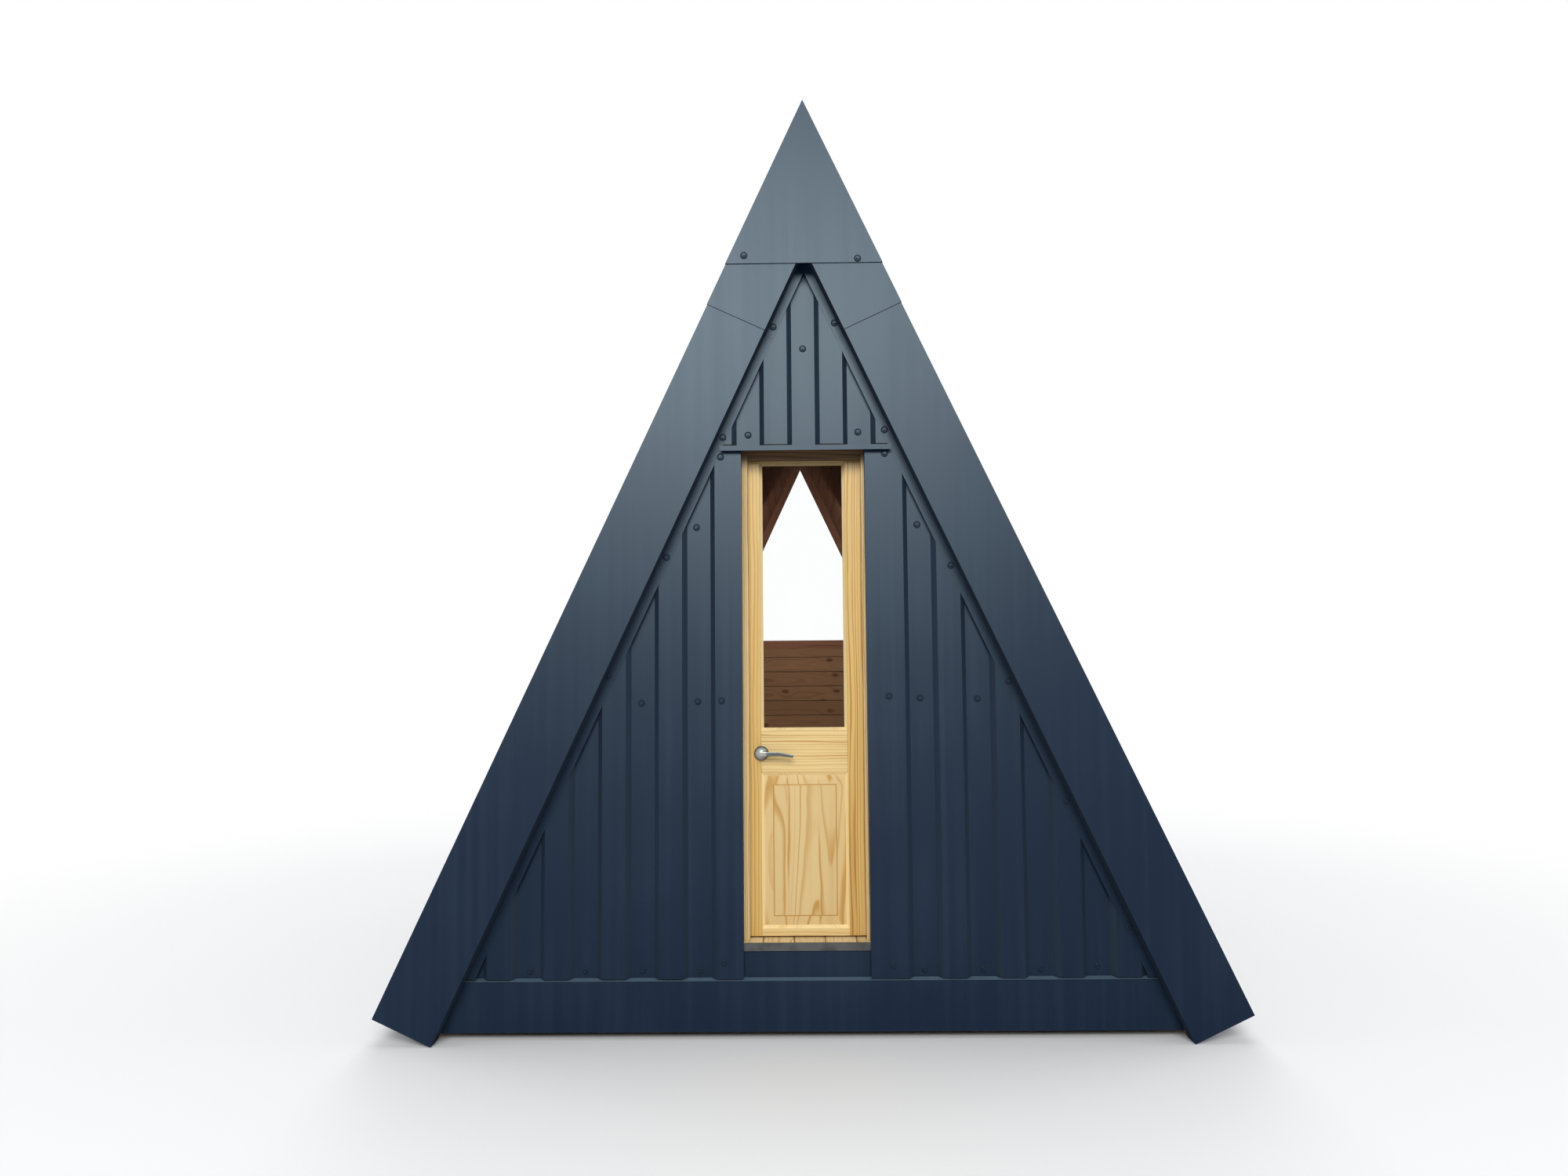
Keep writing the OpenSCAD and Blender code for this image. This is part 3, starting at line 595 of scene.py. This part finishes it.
def board(shape, corner):
    """Adds a cube, sends its corners where corner(sx, sy, sz) says, and chamfers it."""
    made = bmesh.ops.create_cube(shape, size=2.0)["verts"]
    for vert in made:
        vert.co = corner(*(round(c) for c in vert.co))
    edges = {e for vert in made for e in vert.link_edges}
    bmesh.ops.bevel(shape, geom=list(edges), offset=V_JOINT, affect="EDGES", segments=1, profile=0.5,
                    material=-1)


def between(low, high, sign):
    """The low or the high end, by a sign."""
    return high if sign > 0 else low


# %% Boards across the two gables
def level_boards(node, spans, short=0.0, cuts=()):
    """Boards across a gable, which stop short of its top; spans(z0, z1) gives the ends of
    each at both heights, and cuts are more heights at which a board ends."""
    low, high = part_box(node)
    top = high.z - short
    shape = bmesh.new()
    joints = [low.z + i * BOARD for i in range(math.ceil((top - low.z) / BOARD))]
    heights = sorted([*joints, *cuts, top])
    for z0, z1 in zip(heights, heights[1:]):
        if z1 - z0 > LOWEST_BOARD:
            for ends in spans(z0, z1):
                board(shape, lambda sx, sy, sz: Vector((ends[sz > 0][sx > 0], between(low.y, high.y, sy),
                                                        between(z0, z1, sz))))
    piece(node + "_boards", shape, [wall_boards], "cabin", [node])


def room_half(z):
    """Half the width of the room between the slabs at a height."""
    return room_high.x - (z - room_low.z) / math.tan(PITCH)


def back_spans(z0, z1):
    return [[(-room_half(z), room_half(z)) for z in (z0, z1)]]


level_boards("back_lining", back_spans)

# %% Boards round the doorway
door_left, door_right = (corner.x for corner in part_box("door_head"))
door_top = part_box("door_head")[1].z
TOUCHING = 0.001
SHORT_OF_RIDGE = 0.03


def front_spans(z0, z1):
    if z0 > door_top - TOUCHING:
        return back_spans(z0, z1)
    return [[(-room_half(z), door_left) for z in (z0, z1)],
            [(door_right, room_half(z)) for z in (z0, z1)]]


level_boards("front_lining", front_spans, SHORT_OF_RIDGE, [door_top])
print("doorway from", round(door_left, 3), "to", round(door_right, 3), "and up to", round(door_top, 3))

# %% Boards up the two slopes
def slope_boards(node, side):
    low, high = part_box(node)
    down = Vector((side * math.cos(PITCH), 0, -math.sin(PITCH)))
    inward = Vector((-side * math.sin(PITCH), 0, -math.cos(PITCH)))
    ridge = Vector((0, 0, high.z))
    shape = bmesh.new()
    for i in range(slope_count):
        u0 = slope_start + i * slope_width
        board(shape, lambda sx, sy, sz: ridge + down * between(u0, u0 + slope_width, sx)
              + inward * between(0, SLOPE_THICK, sz) + Vector((0, between(low.y, high.y, sy), 0)))
    piece(node + "_boards", shape, [roof_boards], "cabin", [node])


slope_boards("roof_lining_left", -1)
slope_boards("roof_lining_right", 1)

# %% Floor boards, from front to back
def floor_laid():
    shape = bmesh.new()
    lean = (floor_high.z - floor_low.z) / math.tan(PITCH)
    count = math.ceil(floor_high.x / FLOOR_BOARD - 0.5)
    for i in range(-count, count + 1):
        left = max((i - 0.5) * FLOOR_BOARD, -floor_high.x)
        right = min((i + 0.5) * FLOOR_BOARD, floor_high.x)
        if right - left < NARROWEST_FLOOR_BOARD:
            continue

        def corner(sx, sy, sz):
            x = between(left, right, sx)
            if abs(x) > floor_high.x - 1e-6 and sz > 0:
                x -= math.copysign(lean, x)
            return Vector((x, between(floor_low.y, floor_high.y, sy),
                           between(floor_low.z, floor_high.z, sz)))
        board(shape, corner)
    piece("floor_boards_laid", shape, [floor_pine], "cabin", ["floor_boards"])


floor_laid()

# %% [markdown]
# ## Screws
# Roofing screws have a hexagon head on a domed washer, with a ring of dark rubber under it
# that keeps the rain out. They sit in the pans of the sheet and along the flanges of the
# barges. Each is two low cones and a ring with a few dozen faces, because there are many.

# %% One screw on a surface
def screw_paint(place):
    fleck = noise(place, (300.0, 300.0, 300.0), 2.0)
    return {"Base Color": blend(fleck * 0.5, screen(18, 34, 54), screen(36, 53, 73)),
            "Roughness": 0.34 + fleck * 0.15,
            "Specular IOR Level": 0.08,
            "Normal": relief(fleck * 0.01)}


def ring_rubber(place):
    fleck = noise(place, (500.0, 500.0, 500.0), 2.0)
    return {"Base Color": blend(fleck, screen(20, 26, 34), screen(32, 39, 48)),
            "Roughness": 0.7 + fleck * 0.15,
            "Specular IOR Level": 0.1,
            "Normal": relief(fleck * 0.03)}


head_paint = finish("head_paint", screw_paint)
rubber = finish("rubber", ring_rubber)


# Each part has a radius at its foot and at its top, the heights of both, its sides and its slot.
RUBBER_RING = (0.0128, 0.0128, 0.0, 0.0018, 16, 1)
WASHER = (0.0106, 0.0080, 0.0018, 0.0042, 16, 0)
HEXAGON = (0.0056, 0.0050, 0.0042, 0.0100, 6, 0)


def screw(shape, at, out):
    """A rubber ring, a domed washer and a hexagon head that stand out of a surface."""
    turn = Vector((0, 0, 1)).rotation_difference(Vector(out)).to_matrix().to_4x4()
    for radius, top, low, high, sides, worn in (RUBBER_RING, WASHER, HEXAGON):
        place = Matrix.Translation(at) @ turn @ Matrix.Translation((0, 0, (low + high) / 2))
        verts = bmesh.ops.create_cone(shape, cap_ends=True, segments=sides, radius1=radius, radius2=top,
                                      depth=high - low, matrix=place)["verts"]
        for face in {f for v in verts for f in v.link_faces}:
            face.material_index = worn


def screws(name, spots):
    shape = bmesh.new()
    for at, out in spots:
        screw(shape, Vector(at), Vector(out))
    piece(name, shape, [head_paint, rubber], "cabin")


# %% Screws of the front gable
crown_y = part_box("front_cladding_left")[0].y
SHEET = 0.001
pan_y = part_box("front_cladding_left")[1].y - SHEET
FLANGE = [(-0.499, 1.673), (0.513, 1.636), (-0.705, 1.254), (0.707, 1.224), (-0.892, 0.876),
          (0.899, 0.804), (1.105, 0.371), (-1.131, 0.444), (-0.296, 2.104), (0.284, 2.126)]
FLANGE_TOP = [(-0.112, 2.506), (0.109, 2.518)]
SIDE = [(-0.3045, 2.033), (0.283, 2.040), (-0.3045, 1.163), (0.286, 1.175), (-0.2985, 0.258),
        (0.286, 0.2445)]
PANS = [(-0.006, 2.431), (-0.206, 2.116), (0.190, 2.123), (-0.393, 1.782), (0.397, 1.785),
        (-0.590, 1.156), (-0.390, 1.160), (0.398, 1.167), (0.600, 1.163), (-0.980, 0.2255),
        (-0.785, 0.2255), (-0.585, 0.227), (-0.386, 0.2255), (0.398, 0.2255), (0.602, 0.2265),
        (0.799, 0.2255), (0.998, 0.2345)]
cap_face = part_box("front_apex_cap")[0].y
CAP = [(-0.213, 2.741), (0.191, 2.726)]
FORWARD = (0, -1, 0)


def front_screws(mirror=1.0):
    """Places on the front gable, or mirrored to the back one."""
    rows = [(FLANGE, crown_y - SHEET), (FLANGE_TOP, crown_y - 2 * SHEET), (CAP, cap_face)]
    return [((x, mirror * y, z), (0, -mirror, 0)) for row, y in rows for x, z in row]


screws("front_screws", front_screws()
       + [((x, crown_y - SHEET, z), FORWARD) for x, z in SIDE]
       + [((x, pan_y, z), FORWARD) for x, z in PANS])

# %% Screws of the back gable
BACK_ROWS = {0.2255: range(-10, 11, 2), 0.8: range(-6, 7, 4), 1.32: range(-4, 5, 4)}
BACK_PANS = [(x / 10, z) for z, xs in BACK_ROWS.items() for x in xs]
screws("back_screws", front_screws(-1.0) + [((x, -pan_y, z), (0, 1, 0)) for x, z in BACK_PANS])

# %% Screws of the roof, row by row down the slope
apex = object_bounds()[1].z
RIB_PITCH = 0.2
PAN_DEPTH, FLANGE_DEPTH = 0.0236, 0.0024
PAN_ROWS = (0.42, 1.15, 1.9, 2.65, 3.4)
RIDGE_ROW = 0.225
BARGE_ROWS = (0.9, 1.5, 2.1, 2.7, 3.3)
BARGE_LINE = 1.82


def on_slope(side, down, depth, y):
    """A point on a slope: its distance down from the ridge, and its depth below the outer skin."""
    return (side * (down * math.cos(PITCH) - depth * math.sin(PITCH)), y,
            apex - down * math.sin(PITCH) - depth * math.cos(PITCH))


def roof_spots():
    spots = []
    for side in (-1, 1):
        out = (side * math.sin(PITCH), 0, math.cos(PITCH))
        for row, down in enumerate(PAN_ROWS):
            for k in range(-8, 9, 2):
                spots.append((on_slope(side, down, PAN_DEPTH, RIB_PITCH * (k + row % 2)), out))
        for k in range(-9, 9, 2):
            spots.append((on_slope(side, RIDGE_ROW, FLANGE_DEPTH, RIB_PITCH * k + RIB_PITCH / 2), out))
        for gable in (-1, 1):
            for down in BARGE_ROWS:
                spots.append((on_slope(side, down, FLANGE_DEPTH, gable * BARGE_LINE), out))
    return spots


screws("roof_screws", roof_spots())

# %% [markdown]
# ## Side laps
# A wall is wider than one sheet, so the next sheet laps over the last rib of the one before.
# From outside that is only a thin edge down the crown of a rib, which a strip one sheet
# thick shows with its own shadow.

# %% Laps on the crowns of the front gable
LAPS = [(-0.507, -0.4435, 1.56), (0.485, 0.5445, 1.42)]


def laps():
    shape = bmesh.new()
    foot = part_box("front_cladding_left")[0].z
    for left, right, top in LAPS:
        centre = Vector(((left + right) / 2, crown_y - SHEET / 2, (foot + top) / 2))
        size = Vector((right - left, SHEET, top - foot))
        bmesh.ops.create_cube(shape, size=1.0,
                              matrix=Matrix.Translation(centre) @ Matrix.Diagonal(size).to_4x4())
    piece("front_side_laps", shape, [gable_steel], "cabin")


laps()

# %% [markdown]
# ## Camera
# The camera stands in front of the door at eye height of someone sitting, tilted up a little
# so that the upright walls lean in. Its place and angles were fitted to corners of the gable
# in a picture 2000 pixels wide.

# %% Camera
EYE = Vector((-0.0393, -5.5605, 1.3086))
YAW, TILT, ROLL = (math.radians(a) for a in (-0.639, 3.88, -0.481))
FOCAL_PIXELS, PICTURE_WIDTH = 1334.6, 2000
ahead = Vector((math.sin(YAW) * math.cos(TILT), math.cos(YAW) * math.cos(TILT), math.sin(TILT)))
level = Vector((math.cos(YAW), -math.sin(YAW), 0))
above = level.cross(ahead)
right = level * math.cos(ROLL) + above * math.sin(ROLL)
upward = above * math.cos(ROLL) - level * math.sin(ROLL)
lens = bpy.data.cameras.new("camera")
lens.sensor_width = 36.0
lens.lens = FOCAL_PIXELS / PICTURE_WIDTH * lens.sensor_width
camera = bpy.data.objects.new("camera", lens)
camera.matrix_world = Matrix.Translation(EYE) @ Matrix((right, upward, -ahead)).transposed().to_4x4()
bpy.context.scene.collection.objects.link(camera)
bpy.context.scene.camera = camera
print("lens", round(lens.lens, 2), "mm")

# %% [markdown]
# ## Light
# Out of doors such a gable mirrors the sky high up and the ground low down, which makes it
# pale at the top and dark at the foot. A big soft lamp high in front of each side is there
# only to be mirrored, and only by that side, because the next side would mirror it at a
# slant as pure white. Another in the same place lights the wood at a plain level.
# Weaker ones over the ridge, beside the slopes and behind keep the other sides readable, and
# a lamp in the room shows the boards through the glass.

# %% Lamps
SKY = (0.82, 1.0, 1.03)


def softbox(name, at, towards, width, height, radiance, tint=(1.0, 1.0, 1.0)):
    """A flat lamp of a given brightness that faces a point."""
    data = bpy.data.lights.new(name, "AREA")
    data.shape = "RECTANGLE"
    data.size, data.size_y = width, height
    data.energy = radiance * math.pi * width * height
    data.color = tint
    lamp = bpy.data.objects.new(name, data)
    lamp.matrix_world = (Matrix.Translation(at)
                         @ (Vector(towards) - Vector(at)).to_track_quat("-Z", "Y").to_matrix().to_4x4())
    lamp.visible_camera = False
    bpy.context.scene.collection.objects.link(lamp)
    return lamp


front_sky = softbox("front_sky", (-0.7, -10.5, 5.4), (0.0, -1.8, 2.0), 6.4, 3.4, 50.0, SKY)
back_sky = softbox("back_sky", (0.0, 10.5, 6.0), (0.0, 1.8, 2.0), 6.4, 4.2, 30.0, SKY)
left_sky = softbox("left_sky", (-5.5, 0.0, 9.0), (-0.7, 0.0, 1.8), 9.0, 3.5, 20.0, SKY)
right_sky = softbox("right_sky", (5.5, 0.0, 9.0), (0.7, 0.0, 1.8), 9.0, 3.5, 20.0, SKY)
ROOF = ("roof_", "ridge_", "eaves_", "front_barge", "front_apex", "back_barge", "back_apex")
MIRRORS = {front_sky: ("front_", "door_"), back_sky: ("back_",), left_sky: ROOF, right_sky: ROOF}
for sky, side in MIRRORS.items():
    sky.visible_diffuse = False
    mirrors = bpy.data.collections.new(sky.name + "_mirrors")
    for thing in bpy.data.objects:
        if thing.type == "MESH" and thing.name.startswith(side) and thing.data.materials[0] != glass:
            mirrors.objects.link(thing)
    sky.light_linking.receiver_collection = mirrors
softbox("front_light", (0.0, -10.5, 6.0), (0.0, -1.8, 2.0), 6.2, 4.0, 9.0).visible_glossy = False
softbox("over_ridge", (0.0, 0.0, 10.0), (0.0, 0.0, 0.0), 8.0, 8.0, 1.3)
softbox("left_side", (-10.0, 0.5, 5.5), (0.0, 0.0, 1.6), 8.0, 6.0, 1.8)
softbox("right_side", (10.0, 0.5, 5.5), (0.0, 0.0, 1.6), 8.0, 6.0, 1.8)
softbox("behind", (0.0, 10.5, 7.5), (0.0, 1.8, 1.8), 12.0, 7.0, 3.0)
softbox("room", (0.0, 0.4, 1.9), (0.0, 1.7, 0.6), 0.5, 0.5, 23.0).visible_glossy = False

# %% Pale surroundings
BACKGROUND = screen(255, 255, 255)


def seen_rays(tree):
    """One for rays from the camera, mirrors and glass, nothing for light that only fills."""
    path = tree.nodes.new("ShaderNodeLightPath").outputs
    seen = Sock(tree, path["Is Camera Ray"]) + Sock(tree, path["Is Glossy Ray"])
    seen = seen + Sock(tree, path["Is Transmission Ray"])
    return seen.maths("MINIMUM", seen, 1.0)


world = bpy.data.worlds.new("pale_room")
world.use_nodes = True
air = world.node_tree
seen = seen_rays(air)
fill = seen.node("Background", {}, {"Color": (1.0, 1.0, 1.0, 1.0), "Strength": 0.22})
backdrop = seen.node("Background", {}, {"Color": BACKGROUND, "Strength": 1.0})
feed(air, air.nodes["World Output"].inputs["Surface"],
     seen.node("MixShader", {}, {0: seen, 1: fill, 2: backdrop}))
bpy.context.scene.world = world

# %% A pale floor that fades into the background far from the cabin
FADE_FROM, FADE_TO = 2.0, 5.5
FLOOR_RADIUS = 60.0


def pale_floor():
    made = bpy.data.materials.new("pale_floor")
    made.use_nodes = True
    tree = made.node_tree
    place = Sock(tree, tree.nodes.new("ShaderNodeTexCoord").outputs["Object"])
    distance = place.node("VectorMath", {"operation": "LENGTH"}, {0: place}, 1)
    shader = tree.nodes["Principled BSDF"]
    feed(tree, shader.inputs["Base Color"], screen(244, 245, 246))
    feed(tree, shader.inputs["Specular IOR Level"], 0.0)
    feed(tree, shader.inputs["Roughness"], 0.9)
    near = Sock(tree, shader.outputs[0])
    far = place.node("Emission", {}, {"Color": BACKGROUND, "Strength": 1.0})
    share = ease(distance, FADE_FROM, FADE_TO) * seen_rays(tree)
    feed(tree, tree.nodes["Material Output"].inputs["Surface"],
         share.node("MixShader", {}, {0: share, 1: near, 2: far}))
    return made


ground = bmesh.new()
bmesh.ops.create_circle(ground, cap_ends=True, segments=64, radius=FLOOR_RADIUS)
floor_mesh = bpy.data.meshes.new("floor")
ground.to_mesh(floor_mesh)
ground.free()
floor_mesh.materials.append(pale_floor())
floor = bpy.data.objects.new("floor", floor_mesh)
bpy.context.scene.collection.objects.link(floor)
bpy.context.scene.view_settings.view_transform = "Standard"
